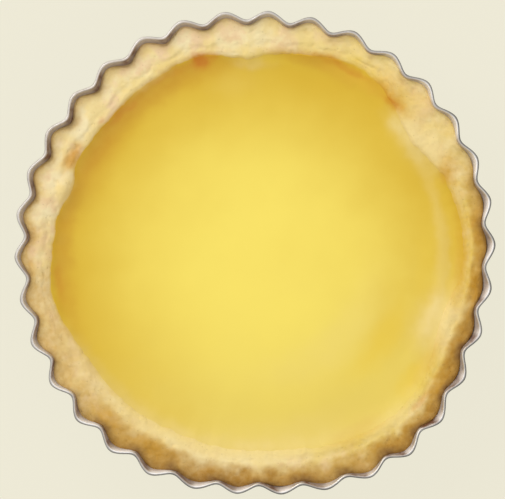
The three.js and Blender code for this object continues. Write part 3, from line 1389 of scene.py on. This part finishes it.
    def relief(self, points: Array, station: Array) -> Array:
        """How far each point stands out: lumps, crumb and small pits.

        Args:
            points: The points in mm.
            station: Their stations.

        Returns:
            Distances in mm, below 0 in a hollow.
        """
        inner = smooth(*self.relief_from_custard, station)
        shown = smooth(*self.relief_span, station) * (
            self.relief_at_custard + (1 - self.relief_at_custard) * inner
        )
        swelling = self.swelling * self.crumb.layered(points, self.swelling_size, 2)
        squashed = points * [1, 1, self.ridge_squash]
        ridges = self.ridges * self.crumb.layered(squashed, self.ridge_size, shift=self.ridge_shift)
        pitted = self.crumb.one(points / self.pit_size + self.pit_shift)
        pits = np.minimum(pitted + self.pit_rarity, 0) * self.pits
        return shown * (swelling + ridges + pits)

    def masks(self, points: Array, angles: Array, station: Array, relief: Array) -> dict[str, Array]:
        """Where the crust is toned, smeared and tanned, coloured by toasting and dark brown by the tin,
        both with painted shade, and given painted shade in its hollows.

        Args:
            points: The points in mm.
            angles: Directions of the columns in degrees.
            station: Stations of the points.
            relief: How far each point stands out in mm.

        Returns:
            The share of each at each point, by name.
        """
        around = np.broadcast_to(angles, station.shape)
        radii = np.hypot(points[..., 0], points[..., 1])
        out = radii - self.filling.edge(angles)
        patch = self.crumb.layered(points, self.patch_size, shift=self.patch_shift)
        low_side = self.filling.lowness(around)
        near, on_low_side = self.smear_reach
        smeared = smooth(near + on_low_side * low_side, 0.0, out + self.smear_stray * patch)
        usual_smear, more_smear = self.smear_share
        stained = unevenness(self.yolk_stained, around) * (1 + self.stain_patching * patch)
        near_tin = smooth(*self.at_tin_span, station + self.tan_stray * patch)
        at_tin = unevenness(self.tanned_edge, around) * near_tin
        tanned = unevenness(self.tanned, around) * (1 + self.tan_patching * patch)
        # Browning with painted shade on the outer slope turned from the light.
        brown = share_of(self.browned_and_shaded, around)
        further = unevenness(self.browned_and_shaded_further, around)
        toasted_and_shaded = smooth(*self.toast_and_shade_span, station + self.toast_and_shade_stray * patch + further)
        in_valley = smooth(*self.valley_span, self.outline.fold(around))
        valley = self.burn_and_shade_on_folds + (1 - self.burn_and_shade_on_folds) * in_valley
        # Dark brown by the tin: browning with painted shade, strongest in the valleys.
        burnt_and_shade = self.usual_burn_and_shade + (1 - self.usual_burn_and_shade) * brown + unevenness(self.burnt_and_shaded_edge, around)
        deepened = station + self.deep_stray * patch - self.pale_retreat * (1 - brown)
        return self.tones.masks(points, around, radii, self.edge_share) | {
            "low_side": low_side,
            "smear": smeared * (usual_smear + more_smear * low_side),
            "yolky": np.clip(stained, 0, 1),
            "tan": np.clip(tanned + at_tin, 0, 1),
            # Toasting with painted shade.
            "toast_and_shade": brown * toasted_and_shaded,
            # Dark brown by the tin, browning with painted shade.
            "deep": np.clip(burnt_and_shade, 0, 1) * valley * smooth(*self.deep_span, deepened),
            # Painted shade in the hollows of the relief.
            "hollow": np.clip(-relief / self.hollow_depth, 0, 1) * self.hollow_shade_share,
        }

    def build(self, effects: Effects) -> Piece:
        """Makes the crust and dresses it.

        Args:
            effects: The shared effects of the finishes.

        Returns:
            The crust's object.
        """
        angles = directions(self.columns)
        radius, height, station = np.moveaxis(self.rings(angles), -1, 0)
        around = np.broadcast_to(angles, station.shape)
        lumps = sum(lump.at(around, radius) for lump in self.lumps)
        heights = height + smooth(*self.top_span, station) * lumps
        skin = Skin("crust_rim", spun(angles, radius, heights), self.underside, self.floor)
        skin.points = self.outline.dented(skin.points, heights, smooth(*self.dent_span, station))
        relief = self.relief(skin.points, station)
        skin.swell(relief)
        skin.masks = self.masks(skin.points, angles, station, relief)
        made = skin.to_object(self.outline.middle)
        return stand_in(made, self.finish.material(effects), "crust", Slot.CRUST)


@dataclass
class Custard:
    """The set custard that fills the crust."""

    outline: TinOutline
    filling: FillingLine
    tones: TopTones
    columns: int = 34 * 22
    edge_rings: int = 52
    middle_rings: int = 60
    middle_reach: float = 28.5
    crowding: float = 1.2
    underside: float = 4.3
    foot: float = 26.6
    tuck: float = 0.6
    shallows: float = 5.0
    ridge_radius: float = 31.2
    groove_radius: float = 33.4
    ridge_width: float = 0.9
    groove_share: float = 0.6
    stray: float = 0.4
    stray_size: float = 5.0
    wave: float = 0.05
    wave_size: float = 7.0
    still_edge: Span = (0, 2)
    patch_size: float = 6.0
    patch_shift: float = 60.0
    golden_radius: float = 27.0
    golden_fall: float = 3.2
    golden_stray: float = 1.1
    creamy_stray: float = 9.0
    finish: CustardFinish = CustardFinish()
    skin_grain: Grain = Grain(37)
    ridge_sides: Swells = swells([(2, 15, 0.22), (338, 10, 0.15)])

    def stops(self) -> Array:
        """Distances in from the edge, close together where the custard clings.

        Returns:
            The distances in mm, below 0 under the crust.
        """
        near = np.linspace(-self.tuck, self.shallows, self.edge_rings)
        shares = np.linspace(0, 1, self.middle_rings)[1:] ** self.crowding
        return np.concatenate([near, self.shallows + (self.middle_reach - self.shallows) * shares])

    def ridge(self, angles: Array, radii: Array) -> Array:
        """Low ridge of set skin along the right-hand side, with a groove outside it.

        Args:
            angles: Directions in degrees.
            radii: Distances from the axis in mm.

        Returns:
            How much higher the surface is at each place, in mm.
        """
        raised = bell(radii, self.ridge_radius, self.ridge_width)
        sunk = self.groove_share * bell(radii, self.groove_radius, self.ridge_width)
        return unevenness(self.ridge_sides, angles) * (raised - sunk)

    def masks(self, points: Array, around: Array, radii: Array) -> dict[str, Array]:
        """Where the custard is toned, golden towards its edge and creamy.

        Args:
            points: The points in mm.
            around: Their directions in degrees.
            radii: Their distances from the axis in mm.

        Returns:
            The share of each at each point, by name.
        """
        patch = self.skin_grain.layered(points, self.patch_size, shift=self.patch_shift)
        outward = np.maximum(radii + self.golden_stray * patch, 0) / self.golden_radius
        return self.tones.masks(points, around, radii, 1.0) | {
            "outer": np.tanh(outward**self.golden_fall),
            "low_side": self.filling.lowness(around + self.creamy_stray * patch),
        }

    def build(self, effects: Effects) -> Piece:
        """Makes the custard and dresses it.

        Args:
            effects: The shared effects of the finishes.

        Returns:
            The custard's object.
        """
        angles = directions(self.columns)
        edge = self.filling.edge(angles)
        inward = self.stops()[:, None] * np.ones(self.columns)
        radii = edge - inward
        around = np.broadcast_to(angles, radii.shape)
        flat = spun(around, radii, 0 * radii)
        strayed = radii + self.stray * self.skin_grain.layered(flat, self.stray_size, 2)
        heights = self.filling.surface(edge, inward) + self.ridge(around, strayed)
        skin = Skin("custard_fill", spun(angles, radii, heights), self.underside, self.filling.level)
        wave = self.wave * self.skin_grain.layered(skin.points, self.wave_size, 2)
        skin.points[..., 2] += wave * smooth(*self.still_edge, inward)
        masks = self.masks(skin.points, around, radii)
        even = np.ones((1, self.columns))
        foot = spun(angles, self.foot * even, self.underside * even)
        skin.points = np.concatenate([foot, skin.points])
        skin.masks = {name: np.concatenate([mask[:1], mask]) for name, mask in masks.items()}
        made = skin.to_object(self.outline.middle)
        return stand_in(made, self.finish.material(effects), "custard", Slot.CUSTARD)


@dataclass(frozen=True)
class Lamp:
    """A soft square lamp turned towards the tart, with its place and size in metres."""

    name: str
    spot: Spot
    size: float
    power: float
    colour: Rgb

    def build(self) -> None:
        """Hangs the lamp."""
        data = bpy.data.lights.new(self.name, "AREA")
        data.shape, data.size, data.energy, data.color = "SQUARE", self.size, self.power, self.colour
        lamp = put(self.name, data)
        lamp.location = self.spot
        back = np.array(self.spot) / np.linalg.norm(self.spot)
        lamp.rotation_euler = (math.acos(back[2]), 0, math.atan2(back[0], -back[1]))


@dataclass(frozen=True)
class Studio:
    """Pale floor, soft light from the upper left and a camera straight above.

    The floor's span is in metres, the other lengths are in mm.
    """

    backdrop: Rgb = linear(238, 234, 215)
    shadow_share: float = 0.08
    floor_bounce: float = 0.35
    floor_span: float = 3.0
    frame_pixels: tuple[int, int] = (505, 499)
    middle_pixel: Span = (256.2, 255.0)
    pixels_per_mm: float = 240.2 / 40
    lens: float = 250.0
    sensor: float = 36.0
    lip_height: float = 20.6
    sky: Rgb = (1.0, 0.985, 0.96)
    horizon_light: float = 0.26
    overhead_light: float = 0.68
    overhead_from: float = 0.9
    lamps: tuple[Lamp, ...] = (
        Lamp("key_lamp", (-0.42, 0.46, 0.55), 0.7, 4.2, (1.0, 0.98, 0.95)),
        Lamp("fill_lamp", (0.5, -0.4, 0.8), 0.8, 1.5, (0.97, 0.98, 1.0)),
    )

    def floor(self) -> None:
        """A level floor that the camera sees as one plain pale colour with a faint shadow."""
        half = self.floor_span / 2
        mesh = bpy.data.meshes.new("floor")
        corners = [(-half, -half, 0), (half, -half, 0), (half, half, 0), (-half, half, 0)]
        mesh.from_pydata(corners, [], [(0, 1, 2, 3)])
        floor = put("floor", mesh)
        material, nodes = blank_material("pale_floor")

        def toned(share: float) -> Rgb:
            """The backdrop's colour, darkened to a share."""
            return tuple(share * channel for channel in self.backdrop)

        glow = nodes.add("Emission", {"Color": toned(1 - self.shadow_share), "Strength": 1.0})
        faint = nodes.add("BsdfDiffuse", {"Color": toned(self.shadow_share)})
        seen = nodes.add("AddShader", {0: glow.outputs[0], 1: faint.outputs[0]})
        matt = nodes.add("BsdfDiffuse", {"Color": toned(self.floor_bounce)})
        rays = nodes.add("LightPath").outputs["Is Camera Ray"]
        mixed = nodes.add("MixShader", {0: rays, 1: matt.outputs[0], 2: seen.outputs[0]})
        nodes.add("OutputMaterial", {"Surface": mixed.outputs[0]})
        mesh.materials.append(material)

    def world(self) -> None:
        """Soft light from all round, stronger overhead than at the horizon."""
        world = bpy.data.worlds.new("studio")
        world.use_nodes = True
        nodes = Nodes(world.node_tree)
        direction = nodes.add("TexCoord").outputs["Generated"]
        upward = nodes.add("SeparateXYZ", {"Vector": direction}).outputs["Z"]
        light = nodes.ranged(upward, self.horizon_light, self.overhead_light, self.overhead_from)
        nodes.fill(world.node_tree.nodes["Background"], {"Color": self.sky, "Strength": light})
        bpy.context.scene.world = world

    def camera(self, middle: Span) -> None:
        """A camera that frames the tart from straight above.

        Args:
            middle: Where the tart's axis stands in the row frame, in mm.
        """
        data = bpy.data.cameras.new("camera")
        data.lens, data.sensor_width = self.lens, self.sensor
        width = self.frame_pixels[0] / self.pixels_per_mm
        distance = width / self.sensor * self.lens
        across, down = (
            (pixel - size / 2) / self.pixels_per_mm
            for pixel, size in zip(self.middle_pixel, self.frame_pixels)
        )
        camera = put("camera", data)
        spot = (middle[0] - across, middle[1] + down, self.lip_height + distance)
        camera.location = tuple(value * MM for value in spot)
        bpy.context.scene.camera = camera

    def build(self, middle: Span) -> None:
        """Sets up floor, lamps, world, camera and plain colour handling.

        Args:
            middle: Where the tart's axis stands in the row frame, in mm.
        """
        self.floor()
        for lamp in self.lamps:
            lamp.build()
        self.world()
        self.camera(middle)
        bpy.context.scene.view_settings.view_transform = "Standard"
        bpy.context.scene.view_settings.look = "None"
        LOG.info("studio ready")


def main() -> None:
    """Builds the studio, then tin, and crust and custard."""
    logging.basicConfig(level=logging.INFO, format="%(name)s: %(message)s")
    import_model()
    outline = TinOutline(height=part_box("tin")[1].z / MM)
    filling, tones = FillingLine(), TopTones()
    Studio().build(outline.middle)
    effects = Effects()
    for piece in (Tin(outline), Crust(outline, filling, tones), Custard(outline, filling, tones)):
        made = piece.build(effects)
        LOG.info("%s has %d faces", made.name, len(made.data.polygons))


if __name__ == "__main__":
    main()
